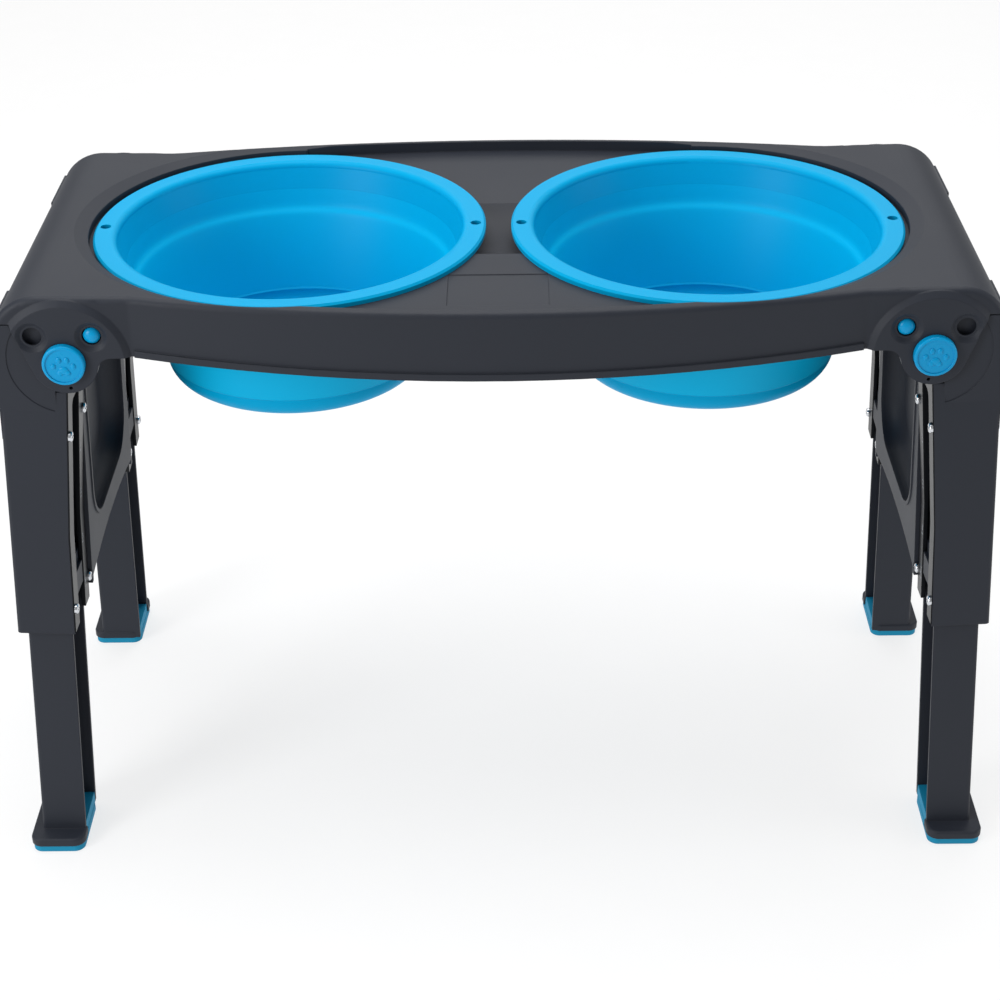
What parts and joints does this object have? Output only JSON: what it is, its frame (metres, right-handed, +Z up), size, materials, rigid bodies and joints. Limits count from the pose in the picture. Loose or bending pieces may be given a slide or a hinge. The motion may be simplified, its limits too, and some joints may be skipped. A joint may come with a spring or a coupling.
{
  "type": "adjustable double pet feeder",
  "caption": "Raised pet feeder: bowed tray with removable collapsible bowls, folding leg frames with push-button locks and telescoping lower legs with soft feet.",
  "frame": {"origin": "centre of the footprint on the floor, under the middle of the tray", "axes": "+Z up, X across both bowls, -Y the front"},
  "size_m": [0.5876, 0.2766, 0.363],
  "materials": {
    "charcoal_plastic": "fine moulded grain",
    "black_plastic": "matte",
    "blue_plastic": "satin",
    "bowl_plastic": "satin",
    "bowl_rubber": "smooth",
    "blue_rubber": "matte",
    "bright_steel": "bright"
  },
  "bodies": {
    "tray": {"tray": "charcoal_plastic"},
    "left_stand": {"left_leg_frame": "charcoal_plastic", "front_left_guide_plate": "charcoal_plastic", "front_left_lock_housing": "black_plastic", "front_left_lock_spring": "bright_steel", "rear_left_guide_plate": "charcoal_plastic", "rear_left_lock_housing": "black_plastic", "rear_left_lock_spring": "bright_steel", "left_guide_screws": "bright_steel", "left_housing_screws": "bright_steel"},
    "left_bowl": {"left_bowl_rim": "bowl_plastic", "left_bowl_band": "bowl_rubber"},
    "left_bowl_bottom": {"left_bowl_base": "bowl_plastic"},
    "front_left_lower": {"front_left_lower_leg": "charcoal_plastic", "front_left_foot_pad": "blue_rubber"},
    "front_left_lock": {"front_left_lock_button": "blue_plastic"},
    "rear_left_lower": {"rear_left_lower_leg": "charcoal_plastic", "rear_left_foot_pad": "blue_rubber"},
    "rear_left_lock": {"rear_left_lock_button": "blue_plastic"},
    "right_stand": {"right_leg_frame": "charcoal_plastic", "front_right_guide_plate": "charcoal_plastic", "front_right_lock_housing": "black_plastic", "front_right_lock_spring": "bright_steel", "rear_right_guide_plate": "charcoal_plastic", "rear_right_lock_housing": "black_plastic", "rear_right_lock_spring": "bright_steel", "right_guide_screws": "bright_steel", "right_housing_screws": "bright_steel"},
    "right_bowl": {"right_bowl_rim": "bowl_plastic", "right_bowl_band": "bowl_rubber"},
    "right_bowl_bottom": {"right_bowl_base": "bowl_plastic"},
    "front_right_lower": {"front_right_lower_leg": "charcoal_plastic", "front_right_foot_pad": "blue_rubber"},
    "front_right_lock": {"front_right_lock_button": "blue_plastic"},
    "rear_right_lower": {"rear_right_lower_leg": "charcoal_plastic", "rear_right_foot_pad": "blue_rubber"},
    "rear_right_lock": {"rear_right_lock_button": "blue_plastic"}
  },
  "joints": [
    {"name": "left_leg_fold", "type": "hinge", "parent": "tray", "child": "left_stand", "pos_m": [-0.2388, 0, 0.325], "axis": [0, -1, 0], "range_deg": [0, 92.7]},
    {"name": "left_bowl_lift", "type": "slide", "parent": "tray", "child": "left_bowl", "axis": [0, 0, 1], "range_m": [0, 0.15]},
    {"name": "left_bowl_collapse", "type": "slide", "parent": "left_bowl", "child": "left_bowl_bottom", "axis": [0, 0, 1], "range_m": [0, 0.058], "deforming": ["left_bowl_band"]},
    {"name": "front_left_height", "type": "slide", "parent": "left_stand", "child": "front_left_lower", "axis": [0.047, 0.0732, 0.9962], "range_m": [0, 0.09]},
    {"name": "front_left_lock_press", "type": "slide", "parent": "left_stand", "child": "front_left_lock", "axis": [0, 1, 0], "range_m": [0, 0.006], "stiffness_N_per_m": 600, "springref_m": -0.002},
    {"name": "rear_left_height", "type": "slide", "parent": "left_stand", "child": "rear_left_lower", "axis": [0.047, -0.0732, 0.9962], "range_m": [0, 0.09]},
    {"name": "rear_left_lock_press", "type": "slide", "parent": "left_stand", "child": "rear_left_lock", "axis": [0, -1, 0], "range_m": [0, 0.006], "stiffness_N_per_m": 600, "springref_m": -0.002},
    {"name": "right_leg_fold", "type": "hinge", "parent": "tray", "child": "right_stand", "pos_m": [0.2388, 0, 0.325], "axis": [0, 1, 0], "range_deg": [0, 92.7]},
    {"name": "right_bowl_lift", "type": "slide", "parent": "tray", "child": "right_bowl", "axis": [0, 0, 1], "range_m": [0, 0.15]},
    {"name": "right_bowl_collapse", "type": "slide", "parent": "right_bowl", "child": "right_bowl_bottom", "axis": [0, 0, 1], "range_m": [0, 0.058], "deforming": ["right_bowl_band"]},
    {"name": "front_right_height", "type": "slide", "parent": "right_stand", "child": "front_right_lower", "axis": [-0.047, 0.0732, 0.9962], "range_m": [0, 0.09]},
    {"name": "front_right_lock_press", "type": "slide", "parent": "right_stand", "child": "front_right_lock", "axis": [0, 1, 0], "range_m": [0, 0.006], "stiffness_N_per_m": 600, "springref_m": -0.002},
    {"name": "rear_right_height", "type": "slide", "parent": "right_stand", "child": "rear_right_lower", "axis": [-0.047, -0.0732, 0.9962], "range_m": [0, 0.09]},
    {"name": "rear_right_lock_press", "type": "slide", "parent": "right_stand", "child": "rear_right_lock", "axis": [0, -1, 0], "range_m": [0, 0.006], "stiffness_N_per_m": 600, "springref_m": -0.002}
  ],
  "couplings": [
    {"joint": "left_bowl_collapse", "follows": "left_leg_fold", "m_per_rad": 0.034921},
    {"joint": "right_bowl_collapse", "follows": "right_leg_fold", "m_per_rad": 0.034921}
  ]
}
